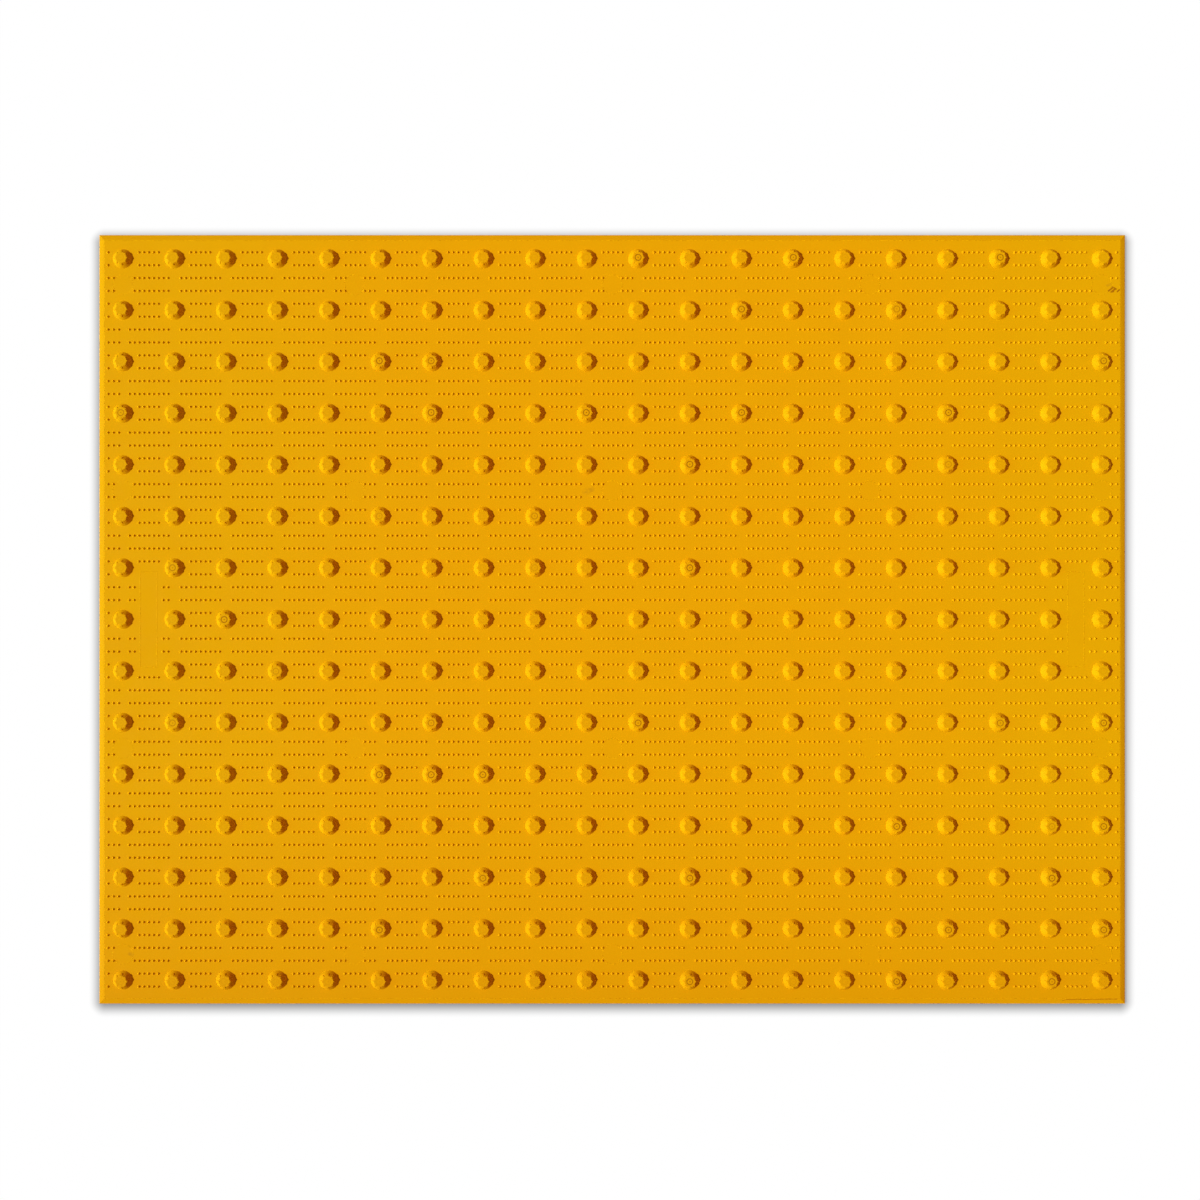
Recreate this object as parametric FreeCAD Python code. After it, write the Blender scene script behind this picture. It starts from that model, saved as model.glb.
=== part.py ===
"""Tactile paving slab: one moulded sheet with a square grid of truncated domes and a bevelled rim.

Millimetres, +Z up. The origin is at the middle of the flat underside, +X runs along the longer side and
+Y along the shorter one.
"""

import FreeCAD
import Part
import math
import os

# Dome grid
DOME_PITCH = 59.69
DOME_COLUMNS = 20
DOME_ROWS = 15

# One truncated dome
DOME_BASE_DIAMETER = 22.86
DOME_TOP_DIAMETER = 11.43
DOME_HEIGHT = 5.08
DOME_SIDES = 12

# The sheet that carries the domes
FACE_THICKNESS = 4.8
EDGE_LAND = 2.8
BEVEL_RUN = 6.35

# Joint left between neighbouring slabs, so that the dome pitch carries over it
JOINT_GAP = 3.2

LENGTH = DOME_COLUMNS * DOME_PITCH - JOINT_GAP
WIDTH = DOME_ROWS * DOME_PITCH - JOINT_GAP


def rectangle(length, width, z):
    """Corners of a centred rectangle at height z, anticlockwise from above."""
    x = length / 2
    y = width / 2
    return [
        FreeCAD.Vector(-x, -y, z),
        FreeCAD.Vector(x, -y, z),
        FreeCAD.Vector(x, y, z),
        FreeCAD.Vector(-x, y, z),
    ]


def ring(diameter, z):
    """Corners of a centred polygon with DOME_SIDES sides at height z, anticlockwise from above."""
    step = 2 * math.pi / DOME_SIDES
    turns = [(i + 0.5) * step for i in range(DOME_SIDES)]
    radius = diameter / 2
    return [FreeCAD.Vector(radius * math.cos(t), radius * math.sin(t), z) for t in turns]


def flat_face(corners):
    """A plane face bounded by the corners."""
    return Part.Face(Part.makePolygon(corners + corners[:1]))


def frustum(lower, upper):
    """The solid between two level outlines with equally many corners, joined by flat sides."""
    count = len(lower)
    sides = []
    for i in range(count):
        j = (i + 1) % count
        sides.append(flat_face([lower[i], lower[j], upper[j], upper[i]]))
    shell = Part.makeShell([flat_face(lower[::-1]), flat_face(upper)] + sides)
    return Part.makeSolid(shell)


def sheet():
    """The plain sheet: an upright edge land all round, then a mitred bevel up to the walking face."""
    land = frustum(rectangle(LENGTH, WIDTH, 0), rectangle(LENGTH, WIDTH, EDGE_LAND))
    face_length = LENGTH - 2 * BEVEL_RUN
    face_width = WIDTH - 2 * BEVEL_RUN
    bevel = frustum(
        rectangle(LENGTH, WIDTH, EDGE_LAND),
        rectangle(face_length, face_width, FACE_THICKNESS),
    )
    return land.fuse(bevel)


def domes():
    """One truncated dome, repeated at every crossing of the grid."""
    top = FACE_THICKNESS + DOME_HEIGHT
    dome = frustum(ring(DOME_BASE_DIAMETER, FACE_THICKNESS), ring(DOME_TOP_DIAMETER, top))
    found = []
    for column in range(DOME_COLUMNS):
        x = (column - (DOME_COLUMNS - 1) / 2) * DOME_PITCH
        for row in range(DOME_ROWS):
            y = (row - (DOME_ROWS - 1) / 2) * DOME_PITCH
            found.append(dome.translated(FreeCAD.Vector(x, y, 0)))
    return found


def slab():
    """The whole moulding as one solid."""
    return sheet().multiFuse(domes()).removeSplitter()


os.makedirs("parts", exist_ok=True)
slab().exportStep("parts/tactile_slab.step")
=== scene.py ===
import math

import bpy
import numpy as np
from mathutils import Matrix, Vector


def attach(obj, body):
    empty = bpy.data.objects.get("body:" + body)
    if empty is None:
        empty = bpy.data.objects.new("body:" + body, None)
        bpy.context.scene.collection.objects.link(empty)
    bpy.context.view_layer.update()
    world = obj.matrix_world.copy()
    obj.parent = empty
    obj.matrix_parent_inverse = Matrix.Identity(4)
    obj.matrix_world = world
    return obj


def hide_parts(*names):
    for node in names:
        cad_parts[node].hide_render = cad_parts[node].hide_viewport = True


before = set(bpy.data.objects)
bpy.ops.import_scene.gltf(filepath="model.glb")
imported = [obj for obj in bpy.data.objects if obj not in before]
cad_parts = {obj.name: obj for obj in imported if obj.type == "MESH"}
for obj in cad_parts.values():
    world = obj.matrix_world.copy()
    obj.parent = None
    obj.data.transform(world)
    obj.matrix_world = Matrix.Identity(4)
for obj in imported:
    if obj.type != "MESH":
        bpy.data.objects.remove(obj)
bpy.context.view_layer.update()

# Sizes in millimetres, in the same frame as the solid
MM = 0.001
CLOSE = 0.01
PITCH = 59.69
COLUMNS = 20
ROWS = 15
JOINT = 3.2
LENGTH = COLUMNS * PITCH - JOINT
WIDTH = ROWS * PITCH - JOINT
FACE = 4.8
LAND = 2.8
BEVEL = 6.35

# What brings the dome middles to whole numbers of pitches
DOME_SHIFT = ((COLUMNS + 1) % 2 / 2, (ROWS + 1) % 2 / 2, 0)

# Rim profile from the ground up to the face: inset from the outline and height
FACE_INSET = BEVEL + 0.7
BLEND = 0.8
SLOPE = (FACE - LAND) / BEVEL
RIM_PROFILE = (
    (0.0, 0.0),
    (0.0, LAND - 0.3),
    (0.25, LAND + 0.02),
    (BLEND, LAND + BLEND * SLOPE - 0.04),
    (BEVEL - BLEND, FACE - BLEND * SLOPE),
    (BEVEL, FACE - 0.09),
    (FACE_INSET, FACE),
)

# Dome profile from the face up to the flat top: radius and height above the face
DOME_PROFILE = (
    (11.35, 0.0),
    (11.12, 0.14),
    (10.75, 0.55),
    (8.75, 2.6),
    (6.7, 4.64),
    (6.4, 4.86),
    (6.15, 4.94),
    (5.8, 4.95),
)
DOME_TOP = DOME_PROFILE[-1][1]
SEGMENTS = 32
STEPS = SEGMENTS // 4

# How far small shapes are sunk into what they stand on
SINK = 0.02
CONE_SINK = 0.05
RIB_SINK = 0.2

# Raised ribs that straddle the rim of every dome: radius, height of the crest and half width, then the section
RIBS = 8
RIB_STATIONS = ((4.9, 4.97, 0.6), (5.5, 5.07, 0.95), (7.1, 4.86, 1.15), (8.55, 3.45, 1.25))
RIB_SECTION = ((1.0, 0.0), (0.72, 1.0), (-0.72, 1.0), (-1.0, 0.0))

# The pip in the middle of every dome
PIP_RADIUS = 0.85
PIP_TOP_RADIUS = 0.45 * PIP_RADIUS
PIP_HEIGHT = 0.13
PIP_SIDES = 10

# Small blunt cones that roughen the face
CONE_RADIUS = 1.85
CONE_SHOULDER_RADIUS = 0.3
CONE_SHOULDER = 1.59
CONE_TIP = 1.75
CONE_SPACING = 5.6
CONE_SIDES = 8
MARGIN_CONES = (4.9, 11.0, 17.2)

# Blank round pads for drilling, by column and row, with a faint rim: growth of its rings and their height
PAD_RADIUS = 11.6
PAD_SIDES = 48
PAD_COLUMNS = (0, 4.5, 9.5, 14.5, 19)
PAD_ROWS = (0.5, 4.5, 9.5, 13.5)
PAD_RIM = ((0.55, -SINK), (0.2, 0.05), (-0.2, 0.05), (-0.55, -SINK))

# Two bare rectangles, kept clear of cones, with a faint edge well inside
PLATE_COLUMNS = (0.5, 18.5)
PLATE_ROW = 7
PLATE_HALF_WIDTH = 14.0
PLATE_HALF_HEIGHT = PITCH * 7 / 8 + 2
PLATE_LINE_X = 9.6
PLATE_LINE_Y = 55.0
PLATE_RIM = ((0.5, -SINK), (0.15, 0.09), (-0.15, 0.09), (-0.5, -SINK))

# A rubbed spot on the right margin, where two cones are worn away
WORN_SPOT = (581.2, 380.5)
WORN_RADIUS = 4.5

# Marks of handling on the face: start, end and half width
SCUFFS = (
    ((574.9, 380.6), (579.4, 384.0), 1.3),
    ((579.4, 385.2), (583.9, 382.7), 1.25),
    ((578.4, 379.7), (583.0, 383.0), 1.4),
    ((585.3, 379.8), (587.6, 382.0), 1.25),
    ((577.8, 379.2), (581.0, 379.8), 1.0),
)
SCRATCHES = (
    ((521.5, -441.8), (528.0, -440.7), 0.5),
    ((526.0, -440.6), (553.5, -440.4), 0.8),
    ((553.5, -440.4), (561.5, -440.3), 0.5),
    ((561.5, -440.2), (584.8, -439.8), 0.85),
    ((560.4, -393.6), (562.6, -394.8), 0.7),
)
SMUDGES = (
    ((-558.6, -387.6), (-555.8, -389.2), 3.4),
    ((-31.0, 148.0), (-24.0, 151.0), 5.0),
    ((573.4, 386.6), (577.4, 389.0), 2.2),
)

# Colours of the polymer, of what marks it and of painted shade
PIGMENT_MIDDLE = (0.83, 0.367, 0.0008, 1)
PIGMENT_ENDS = (0.793, 0.386, 0.0008, 1)
# Painted shade: the face towards the near edge, darker where the light falls off
NEAR_EDGE_SHADE = (0.762, 0.328, 0.0008, 1)
# Painted shade on the bevels of the long edges and on the near margin
BEVEL_AND_MARGIN_SHADE = (0.69, 0.28, 0.001, 1)
BLOTCH = (0.755, 0.34, 0.001, 1)
DARK_SPECK = (0.62, 0.25, 0.002, 1)
PALE_SPECK = (0.90, 0.46, 0.01, 1)
# Painted shade for the rings and dots that the mould's inserts leave on dome tops
INSERT_SHADE = (0.34, 0.11, 0.002, 1)
SCUFFED = (0.34, 0.085, 0.002, 1)
SOILED = (0.3, 0.13, 0.01, 1)

# Rings that the mould's inserts leave on dome tops
RING_RADIUS = 3.4

# The stage: colours, and a shade on the floor that fades out round the slab
WHITE = (1, 1, 1, 1)
SHADE = (0.02, 0.02, 0.02, 1)
SHADE_INSET = 5.6
SHADE_REACH = 20.5
SHADE_SHIFT = 3.5
SHADE_DEPTH = 0.74
PLAIN_SHARE = 0.8
FLOOR_SIZE = 40000.0
FLOOR_DROP = 0.2

# Light, as the colours that a level white surface takes on. The key makes up what is left to white.
AMBIENT = (0.29, 0.145, 0.11)
FILL = (0.0, 0.06, 0.06)
KEY = [1.0 - a - f for a, f in zip(AMBIENT, FILL)]

# Camera, straight above a place near the middle
CAMERA_X = -14.2
CAMERA_Y = 22.5
CAMERA_HEIGHT = 1150.0
PIXELS_PER_MM = 0.8631
FRAME_PIXELS = 1200
SENSOR = 36.0


# Ways to make meshes


def read(items, name, width=1, kind=np.float64):
    """One property of every item in a mesh, as an array."""
    values = np.empty(len(items) * width, dtype=kind)
    items.foreach_get(name, values)
    return values.reshape(-1, width) if width > 1 else values


def mark_sharp(mesh, edges):
    """Marks the numbered edges sharp, besides those that are so already."""
    sharp = mesh.attributes.get("sharp_edge") or mesh.attributes.new("sharp_edge", "BOOLEAN", "EDGE")
    values = read(sharp.data, "value", kind=bool)
    values[edges] = True
    sharp.data.foreach_set("value", values)


def make_piece(name, points, faces, material, smooth=True):
    """A mesh object from points in millimetres, on the root body."""
    mesh = bpy.data.meshes.new(name)
    mesh.from_pydata((np.asarray(points) * MM).tolist(), [], faces)
    mesh.validate()
    mesh.polygons.foreach_set("use_smooth", [smooth] * len(mesh.polygons))
    # Edges of undersides are sharp, so that they don't bend the shading of what stands on them
    looks_down = read(mesh.polygons, "normal", 3)[:, 2] < -0.99
    corners = np.repeat(looks_down, read(mesh.polygons, "loop_total", kind=np.int32))
    mark_sharp(mesh, read(mesh.loops, "edge_index", kind=np.int32)[corners])
    mesh.materials.append(material)
    piece = bpy.data.objects.new(name, mesh)
    bpy.context.collection.objects.link(piece)
    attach(piece, "root")
    return piece


def joined(shapes):
    """Points and faces of several shapes, each in one list."""
    points = []
    faces = []
    for more_points, more_faces in shapes:
        start = len(points)
        points.extend(more_points)
        faces.extend([[start + k for k in face] for face in more_faces])
    return points, faces


def repeated(shape, places):
    """One small shape, copied to every place."""
    points, faces = shape
    return joined([(np.asarray(points) + place, faces) for place in places])


def skin(rings, bottom=False, top=False, wrap=False):
    """Points and faces of a skin over rings with equally many points, from the outer or lower one on.

    bottom and top close the first and the last ring, and wrap joins the last to the first.
    """
    count = len(rings[0])
    points = [point for ring in rings for point in ring]
    rows = [list(range(start, start + count)) for start in range(0, len(points), count)]
    faces = []
    for lower, upper in zip(rows, rows[1:] + rows[: int(wrap)]):
        for i in range(count):
            j = (i + 1) % count
            faces.append([lower[i], lower[j], upper[j], upper[i]])
    if bottom:
        faces.append(rows[0][::-1])
    if top:
        faces.append(rows[-1])
    return points, faces


def circle(radius, z, sides, turn=0.0):
    """Points round a level circle, anticlockwise."""
    angles = np.arange(sides) * 2 * math.pi / sides + turn
    return [(radius * math.cos(a), radius * math.sin(a), z) for a in angles]


# The body: a face with a welded dome in every cell, a bevelled rim and a flat underside


def column_x(column):
    """Columns count from the left."""
    return (column - (COLUMNS - 1) / 2) * PITCH


def row_y(row):
    """Rows count from the far edge, as in the photograph's top row."""
    return ((ROWS - 1) / 2 - row) * PITCH


def cell_edges(count, size):
    """Where the cells begin and end along one direction."""
    half = size / 2 - FACE_INSET
    inner = [(i - count / 2) * PITCH for i in range(1, count)]
    return [-half] + inner + [half]


def even_steps(stops):
    """Even steps from stop to stop, without the last stop."""
    return [a + (b - a) * k / STEPS for a, b in zip(stops, stops[1:]) for k in range(STEPS)]


def outline(xs, ys):
    """Points round a block of cells, in step with the segments of a dome."""
    right = [(xs[-1], y) for y in even_steps(ys)]
    far = [(x, ys[-1]) for x in even_steps(xs[::-1])]
    left = [(xs[0], y) for y in even_steps(ys[::-1])]
    near = [(x, ys[0]) for x in even_steps(xs)]
    return right + far + left + near


def body_mesh():
    """The sheet with its domes, as one closed skin."""
    xs = cell_edges(COLUMNS, LENGTH)
    ys = cell_edges(ROWS, WIDTH)
    dome = [np.array(circle(radius, FACE + z, SEGMENTS, -math.pi / 4)) for radius, z in DOME_PROFILE]
    shapes = []
    for i in range(COLUMNS):
        for j in range(ROWS):
            middle = (column_x(i), row_y(ROWS - 1 - j), 0)
            cell = [(x, y, FACE) for x, y in outline(xs[i : i + 2], ys[j : j + 2])]
            shapes.append(skin([cell] + [ring + middle for ring in dome], top=True))
    edge = outline(xs, ys)
    rim = []
    for inset, z in RIM_PROFILE:
        along_x = (LENGTH / 2 - inset) / xs[-1]
        along_y = (WIDTH / 2 - inset) / ys[-1]
        rim.append([(x * along_x, y * along_y, z) for x, y in edge])
    shapes.append(skin(rim, bottom=True))
    # Points that meet are welded
    points, faces = joined(shapes)
    points = np.array(points)
    keys = np.round(points * 1000).astype(np.int64)
    _, first, same = np.unique(keys, axis=0, return_index=True, return_inverse=True)
    same = same.ravel()
    return points[first], [[int(same[k]) for k in face] for face in faces]


def sharpen(piece):
    """Keeps the face level up to the domes and the bevel, and the mitres crisp, under smooth shading."""
    mesh = piece.data
    points = read(mesh.vertices, "co", 3) / MM
    ends = read(mesh.edges, "vertices", 2, np.int32)
    level = np.abs(points[:, 2] - FACE) < CLOSE
    beyond = np.abs(points[:, :2]) >= np.array((LENGTH, WIDTH)) / 2 - FACE_INSET - CLOSE
    pitches = points[:, :2] / PITCH + DOME_SHIFT[:2]
    from_dome = np.hypot(*(pitches - np.round(pitches)).T) * PITCH
    mitre = beyond.all(axis=1)
    foot = level & (from_dome < DOME_PROFILE[0][0] + 0.1)
    brow_x = level & beyond[:, 0]
    brow_y = level & beyond[:, 1]
    for lies_there in (mitre, foot, brow_x, brow_y):
        mark_sharp(mesh, np.flatnonzero(lies_there[ends].all(axis=1)))


# Small relief: ribs and pips on the domes, cones on the face, rims of the blank pads and rectangles


def rib_mesh():
    """The ribs round one dome, each a short bar whose flat crest is nearly level with the top."""
    radii, heights = zip(*reversed(DOME_PROFILE))
    shapes = []
    for k in range(RIBS):
        turn = k * 2 * math.pi / RIBS
        out = np.array((math.cos(turn), math.sin(turn)))
        side = np.array((-math.sin(turn), math.cos(turn)))
        sections = []
        for radius, crest, half in RIB_STATIONS:
            foot = float(np.interp(radius, radii, heights)) - RIB_SINK
            plan = [out * radius + side * half * across for across, up in RIB_SECTION]
            sections.append([(*p, foot + (crest - foot) * up) for p, (across, up) in zip(plan, RIB_SECTION)])
        shapes.append(skin(sections, bottom=True, top=True))
    return joined(shapes)


def pip_mesh():
    """The low round pip in the middle of a dome."""
    low = circle(PIP_RADIUS, DOME_TOP - SINK, PIP_SIDES)
    high = circle(PIP_TOP_RADIUS, DOME_TOP + PIP_HEIGHT, PIP_SIDES)
    return skin((low, high), bottom=True, top=True)


def cone_mesh():
    """One raised point with a blunted tip."""
    half_side = math.pi / CONE_SIDES
    low = circle(CONE_RADIUS, -CONE_SINK, CONE_SIDES, half_side)
    high = circle(CONE_SHOULDER_RADIUS, CONE_SHOULDER, CONE_SIDES, half_side)
    points, faces = skin((low, high), bottom=True)
    tip = len(points)
    shoulder = range(CONE_SIDES, tip)
    faces.extend([[k, k + 1 if k + 1 < tip else CONE_SIDES, tip] for k in shoulder])
    return points + [(0, 0, CONE_TIP)], faces


def pad_rim_mesh():
    """A faint raised line round one blank pad."""
    return skin([circle(PAD_RADIUS + grow, z, PAD_SIDES) for grow, z in PAD_RIM], wrap=True)


def plate_rim_mesh():
    """A faint raised line round one bare rectangle."""
    rings = []
    for grow, z in PLATE_RIM:
        x = PLATE_LINE_X + grow
        y = PLATE_LINE_Y + grow
        rings.append([(-x, -y, z), (x, -y, z), (x, y, z), (-x, y, z)])
    return skin(rings, wrap=True)


def grid_places(columns, rows):
    """Places on the face at every crossing of the columns and rows."""
    return [(column_x(i), row_y(j), FACE) for i in columns for j in rows]


def is_bare(x, y):
    """True where a blank pad, a bare rectangle or wear keeps the face smooth."""
    for pad_x, pad_y, _ in grid_places(PAD_COLUMNS, PAD_ROWS):
        if math.hypot(x - pad_x, y - pad_y) < PAD_RADIUS:
            return True
    for column in PLATE_COLUMNS:
        across = abs(x - column_x(column)) < PLATE_HALF_WIDTH
        along = abs(y - row_y(PLATE_ROW)) < PLATE_HALF_HEIGHT
        if across and along:
            return True
    return math.hypot(x - WORN_SPOT[0], y - WORN_SPOT[1]) < WORN_RADIUS


def cone_places(by_domes):
    """Places of the cones on the lines beside the domes, or on those between two rows."""
    reach = 2 if by_domes else 4
    margins = MARGIN_CONES[2:] if by_domes else MARGIN_CONES
    offset = PITCH / 8 if by_domes else PITCH * 3 / 8
    xs = []
    for gap in range(COLUMNS - 1):
        xs.extend([column_x(gap + 0.5) + k * CONE_SPACING for k in range(-reach, reach + 1)])
    xs.extend([column_x(0) - m for m in margins])
    xs.extend([column_x(COLUMNS - 1) + m for m in margins])
    ys = []
    for row in range(ROWS):
        if by_domes or row > 0:
            ys.append(row_y(row) + offset)
        if by_domes or row < ROWS - 1:
            ys.append(row_y(row) - offset)
    return [(x, y, FACE) for x in xs for y in ys if not is_bare(x, y)]


# Materials, with places in metres


class Nodes:
    """Short ways to add and link shader nodes in one tree."""

    def __init__(self, tree):
        self.tree = tree

    def add(self, kind, **settings):
        made = self.tree.nodes.new(kind)
        for key, value in settings.items():
            setattr(made, key, value)
        return made

    def put(self, socket, value):
        if isinstance(value, bpy.types.NodeSocket):
            self.tree.links.new(value, socket)
        else:
            socket.default_value = value

    def math(self, operation, a, b=0.0, clamp=False):
        made = self.add("ShaderNodeMath", operation=operation, use_clamp=clamp)
        self.put(made.inputs[0], a)
        self.put(made.inputs[1], b)
        return made.outputs[0]

    def vector(self, operation, a, b=(0, 0, 0), c=(0, 0, 0)):
        made = self.add("ShaderNodeVectorMath", operation=operation)
        for socket, value in zip(made.inputs, (a, b, c)):
            self.put(socket, value)
        is_number = operation in ("LENGTH", "DOT_PRODUCT", "DISTANCE")
        return made.outputs["Value" if is_number else "Vector"]

    def remap(self, value, low, high, to_low=0.0, to_high=1.0):
        """A smooth step from one range to another."""
        made = self.add("ShaderNodeMapRange", interpolation_type="SMOOTHSTEP")
        for socket, v in zip(made.inputs, (value, low, high, to_low, to_high)):
            self.put(socket, v)
        return made.outputs[0]

    def noise(self, place, scale, detail=2.0, rough=0.5):
        made = self.add("ShaderNodeTexNoise")
        self.put(made.inputs["Vector"], place)
        self.put(made.inputs["Scale"], scale)
        self.put(made.inputs["Detail"], detail)
        self.put(made.inputs["Roughness"], rough)
        return made.outputs["Fac"]

    def mix(self, factor, a, b):
        made = self.add("ShaderNodeMix", data_type="RGBA")
        self.put(made.inputs[0], factor)
        self.put(made.inputs[6], a)
        self.put(made.inputs[7], b)
        return made.outputs[2]

    def stroke(self, place, start, end, half_width):
        """1 along a short straight mark between two points in millimetres, 0 away from it."""
        a = Vector((*start, 0)) * MM
        along = Vector((*end, 0)) * MM - a
        from_a = self.vector("SUBTRACT", place, tuple(a))
        dot = self.vector("DOT_PRODUCT", from_a, tuple(along))
        share = self.math("DIVIDE", dot, along.length_squared, clamp=True)
        scaled = self.add("ShaderNodeVectorMath", operation="SCALE")
        self.put(scaled.inputs[0], tuple(along))
        self.put(scaled.inputs["Scale"], share)
        away = self.vector("DISTANCE", from_a, scaled.outputs["Vector"])
        return self.remap(away, half_width * MM * 0.3, half_width * MM, 1.0, 0.0)

    def strokes(self, place, marks):
        """The strongest of several strokes."""
        most = 0.0
        for start, end, half_width in marks:
            most = self.math("MAXIMUM", most, self.stroke(place, start, end, half_width))
        return most

    def seen(self):
        """1 for what the camera sees, also in reflections and through glass, 0 for what only gives light."""
        rays = self.add("ShaderNodeLightPath").outputs
        either = self.math("MAXIMUM", rays["Is Camera Ray"], rays["Is Glossy Ray"])
        return self.math("MAXIMUM", either, rays["Is Transmission Ray"])


def new_material(name):
    """A material, the ways to add to it, its shader and the place on the object."""
    material = bpy.data.materials.new(name)
    material.use_nodes = True
    n = Nodes(material.node_tree)
    return material, n, material.node_tree.nodes["Principled BSDF"], n.add("ShaderNodeTexCoord").outputs["Object"]


def polymer_material():
    """Matte moulded polymer, coloured right through."""
    material, n, shader, place = new_material("slab_polymer")
    axes = n.add("ShaderNodeSeparateXYZ")
    n.put(axes.inputs[0], place)
    x, y, z = axes.outputs

    # Slow drift in the pigment, yellower to both ends, and painted shade that darkens the face towards the near
    # edge, where the light falls off
    to_ends = n.remap(n.math("ABSOLUTE", n.math("SUBTRACT", x, 0.04)), 0.2, 0.62)
    drift = n.math("ADD", n.math("MULTIPLY", to_ends, 0.75), n.math("MULTIPLY", n.noise(place, 2.2, 2.0), 0.5))
    colour = n.mix(n.remap(drift, 0.1, 0.95), PIGMENT_MIDDLE, PIGMENT_ENDS)
    # Painted shade towards the near edge
    colour = n.mix(n.remap(y, -0.12, -0.46, 0.0, 0.75), colour, NEAR_EDGE_SHADE)

    # Painted shade: the bevels of the long edges and the margin of the near one are made a little darker
    from_brow = n.math("SUBTRACT", n.math("ABSOLUTE", y), (WIDTH / 2 - BEVEL) * MM)
    on_bevel = n.remap(from_brow, -0.0004, 0.0006, 0.0, 0.3)
    on_margin = n.remap(y, -0.38, -0.446, 0.0, 0.3)
    colour = n.mix(n.math("MAXIMUM", on_bevel, on_margin), colour, BEVEL_AND_MARGIN_SHADE)

    # Blotches a few centimetres wide and fine filler specks
    blotch = n.noise(place, 21.0, 4.0, 0.6)
    speck = n.noise(place, 900.0, 2.0, 0.6)
    colour = n.mix(n.remap(blotch, 0.35, 0.75, 0.0, 0.25), colour, BLOTCH)
    colour = n.mix(n.remap(speck, 0.62, 0.74, 0.0, 0.3), colour, DARK_SPECK)
    colour = n.mix(n.remap(speck, 0.36, 0.26, 0.0, 0.25), colour, PALE_SPECK)

    # A ring and a dot on the dome tops, from the mould's inserts, plain on some and faint on others. They are cut
    # into the bump as a shallow groove and darkened with painted shade
    pitches = n.vector("MULTIPLY_ADD", place, (1 / (PITCH * MM), 1 / (PITCH * MM), 0), DOME_SHIFT)
    cell = n.vector("FLOOR", n.vector("ADD", pitches, (0.5, 0.5, 0.5)))
    from_middle = n.math("MULTIPLY", n.vector("DISTANCE", pitches, cell), PITCH)
    luck = n.add("ShaderNodeTexWhiteNoise", noise_dimensions="3D")
    n.put(luck.inputs["Vector"], cell)
    strength = n.remap(luck.outputs["Value"], 0.8, 0.92, 0.2, 1.5)
    ring = n.remap(n.math("ABSOLUTE", n.math("SUBTRACT", from_middle, RING_RADIUS)), 0.2, 0.8, 1.0, 0.0)
    dot = n.remap(from_middle, 0.3, 1.0, 1.0, 0.0)
    insert_groove_and_shade = n.math("MULTIPLY", n.math("MAXIMUM", ring, dot), strength)
    insert_groove_and_shade = n.math("MULTIPLY", insert_groove_and_shade, n.remap(z, (FACE + 4.6) * MM, (FACE + 4.9) * MM))
    # Painted shade in the ring's groove and on the dot
    colour = n.mix(n.math("MULTIPLY", insert_groove_and_shade, 0.6), colour, INSERT_SHADE)

    # Marks lie on the plan, so they are found without height
    flat = n.vector("MULTIPLY", place, (1, 1, 0))
    scratched = n.math("MULTIPLY", n.strokes(flat, SCRATCHES), 0.75)
    scuffed = n.math("MAXIMUM", n.strokes(flat, SCUFFS), scratched)
    ragged = n.remap(n.noise(place, 700.0, 3.0, 0.7), 0.3, 0.55, 0.5, 1.0)
    scuffed = n.math("MULTIPLY", scuffed, ragged)
    colour = n.mix(n.math("MULTIPLY", scuffed, 0.9), colour, SCUFFED)
    patchy = n.remap(n.noise(place, 260.0, 3.0, 0.7), 0.35, 0.65, 0.0, 0.28)
    colour = n.mix(n.math("MULTIPLY", n.strokes(flat, SMUDGES), patchy), colour, SOILED)
    n.put(shader.inputs["Base Color"], colour)

    n.put(shader.inputs["Roughness"], n.remap(n.noise(place, 60.0, 3.0), 0.3, 0.7, 0.62, 0.76))
    n.put(shader.inputs["Specular IOR Level"], 0.02)

    grain = n.math("ADD", n.noise(place, 1100.0, 3.0, 0.6), n.math("MULTIPLY", blotch, 0.8))
    bump = n.add("ShaderNodeBump")
    n.put(bump.inputs["Strength"], 0.35)
    n.put(bump.inputs["Distance"], 0.0002)
    n.put(bump.inputs["Height"], n.math("SUBTRACT", grain, insert_groove_and_shade))
    n.put(shader.inputs["Normal"], bump.outputs["Normal"])
    return material


def floor_material():
    """White, with a soft shade close round the slab."""
    material, n, shader, place = new_material("studio_floor")
    shifted = n.vector("ADD", place, (0.0, SHADE_SHIFT * MM, 0.0))
    core = ((LENGTH / 2 - SHADE_INSET) * MM, (WIDTH / 2 - SHADE_INSET) * MM, 0.0)
    beyond = n.vector("SUBTRACT", n.vector("ABSOLUTE", shifted), core)
    beyond = n.vector("MULTIPLY", n.vector("MAXIMUM", beyond, (0, 0, 0)), (1, 1, 0))
    shade = n.remap(n.vector("LENGTH", beyond), 0.0, SHADE_REACH * MM, SHADE_DEPTH, 0.0)
    colour = n.mix(shade, WHITE, SHADE)
    n.put(shader.inputs["Base Color"], colour)
    n.put(shader.inputs["Roughness"], 1.0)
    n.put(shader.inputs["Specular IOR Level"], 0.0)
    # To the eye and in reflections most of it is plain white, which keeps the cast shadow pale
    plain = n.add("ShaderNodeEmission")
    n.put(plain.inputs["Color"], colour)
    blend = n.add("ShaderNodeMixShader")
    n.put(blend.inputs[0], n.math("MULTIPLY", n.seen(), PLAIN_SHARE))
    n.put(blend.inputs[1], shader.outputs[0])
    n.put(blend.inputs[2], plain.outputs[0])
    n.put(material.node_tree.nodes["Material Output"].inputs["Surface"], blend.outputs[0])
    return material


# The pieces

polymer = polymer_material()
body = make_piece("slab_body", *body_mesh(), polymer)
sharpen(body)
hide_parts("tactile_slab")

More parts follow.
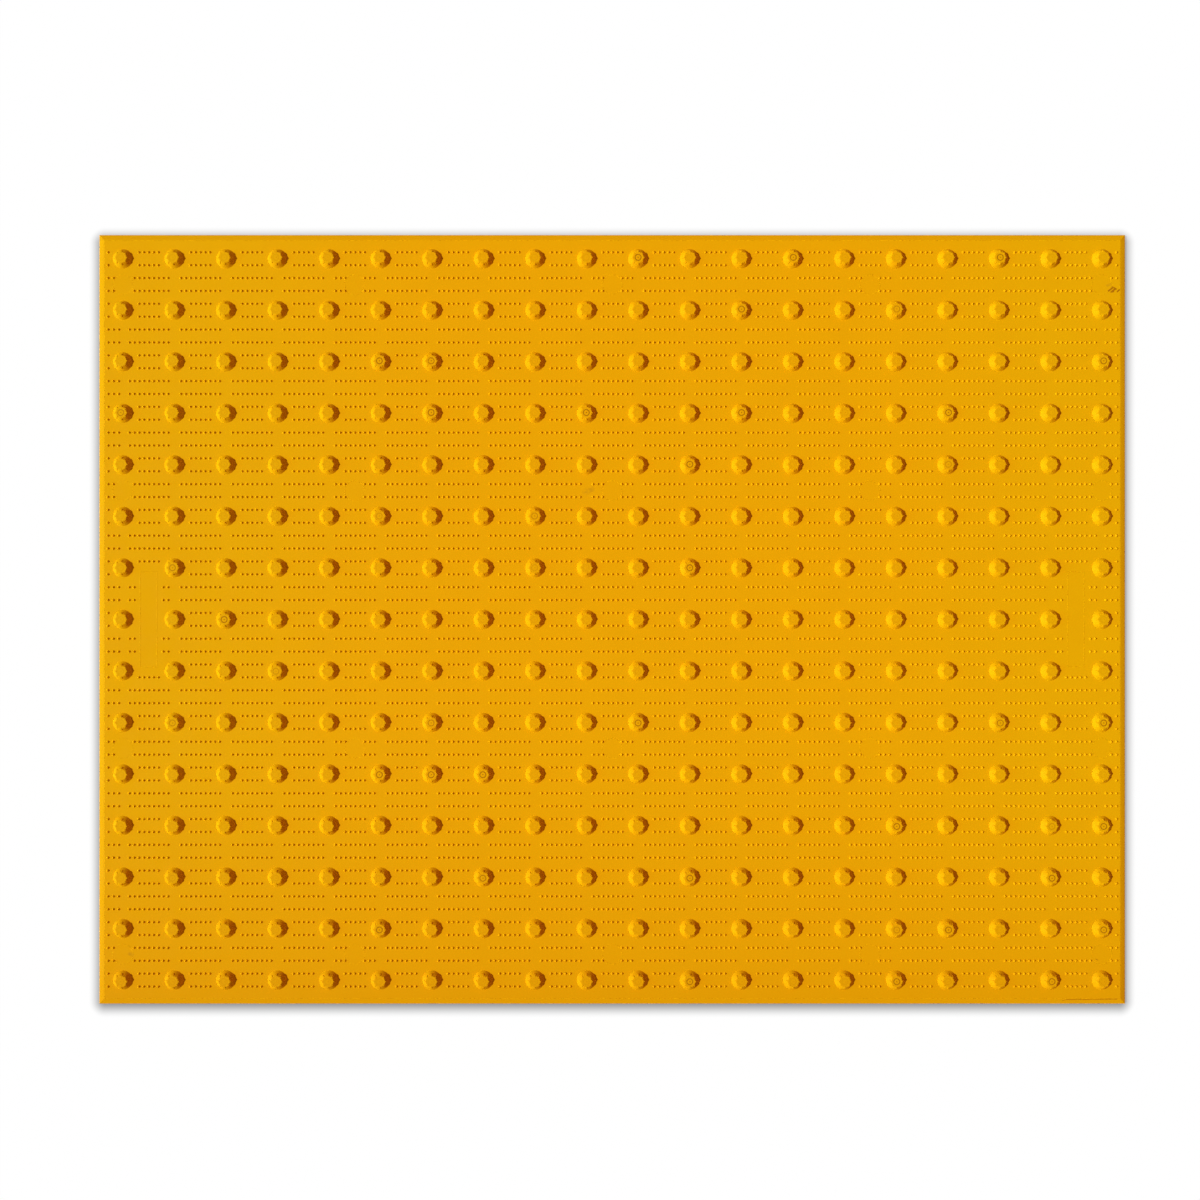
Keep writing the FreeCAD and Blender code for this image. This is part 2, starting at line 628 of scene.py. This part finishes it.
domes = grid_places(range(COLUMNS), range(ROWS))
pads = grid_places(PAD_COLUMNS, PAD_ROWS)
plates = grid_places(PLATE_COLUMNS, (PLATE_ROW,))
make_piece("dome_ribs", *repeated(rib_mesh(), domes), polymer, smooth=False)
make_piece("dome_pips", *repeated(pip_mesh(), domes), polymer)
make_piece("cones_by_domes", *repeated(cone_mesh(), cone_places(True)), polymer)
make_piece("cones_between_rows", *repeated(cone_mesh(), cone_places(False)), polymer)
make_piece("pad_rims", *repeated(pad_rim_mesh(), pads), polymer)
make_piece("plate_rims", *repeated(plate_rim_mesh(), plates), polymer, smooth=False)

# The floor

bpy.ops.mesh.primitive_plane_add(size=FLOOR_SIZE * MM, location=(0, 0, -FLOOR_DROP * MM))
floor = bpy.context.object
floor.name = "floor"
floor.data.materials.append(floor_material())

# Light: a key raking in from the left, a weak soft fill below it and an even pale surround


def add_sun(name, azimuth, elevation, colour, spread):
    """A directional lamp that shines from the given bearing, degrees anticlockwise from +X.

    A level white surface takes on the given colour under it.
    """
    a = math.radians(azimuth)
    e = math.radians(elevation)
    lamp = bpy.data.lights.new(name, "SUN")
    lamp.color = colour
    lamp.energy = math.pi / math.sin(e)
    lamp.angle = math.radians(spread)
    sun = bpy.data.objects.new(name, lamp)
    source = Vector((math.cos(e) * math.cos(a), math.cos(e) * math.sin(a), math.sin(e)))
    sun.rotation_euler = source.to_track_quat("Z", "Y").to_euler()
    sun.location = source * 3
    bpy.context.collection.objects.link(sun)


add_sun("key", azimuth=185, elevation=39, colour=KEY, spread=2)
add_sun("fill", azimuth=185, elevation=16, colour=FILL, spread=30)

world = bpy.data.worlds.new("surround")
world.use_nodes = True
bpy.context.scene.world = world
surround = Nodes(world.node_tree)
background = world.node_tree.nodes["Background"]
surround.put(background.inputs["Color"], surround.mix(surround.seen(), (*AMBIENT, 1), WHITE))

# The camera looks straight down
camera_data = bpy.data.cameras.new("camera")
camera_data.sensor_width = SENSOR
camera_data.lens = PIXELS_PER_MM * SENSOR * CAMERA_HEIGHT / FRAME_PIXELS
camera = bpy.data.objects.new("camera", camera_data)
camera.location = Vector((CAMERA_X, CAMERA_Y, FACE + CAMERA_HEIGHT)) * MM
bpy.context.collection.objects.link(camera)
bpy.context.scene.camera = camera

bpy.context.scene.view_settings.view_transform = "Standard"
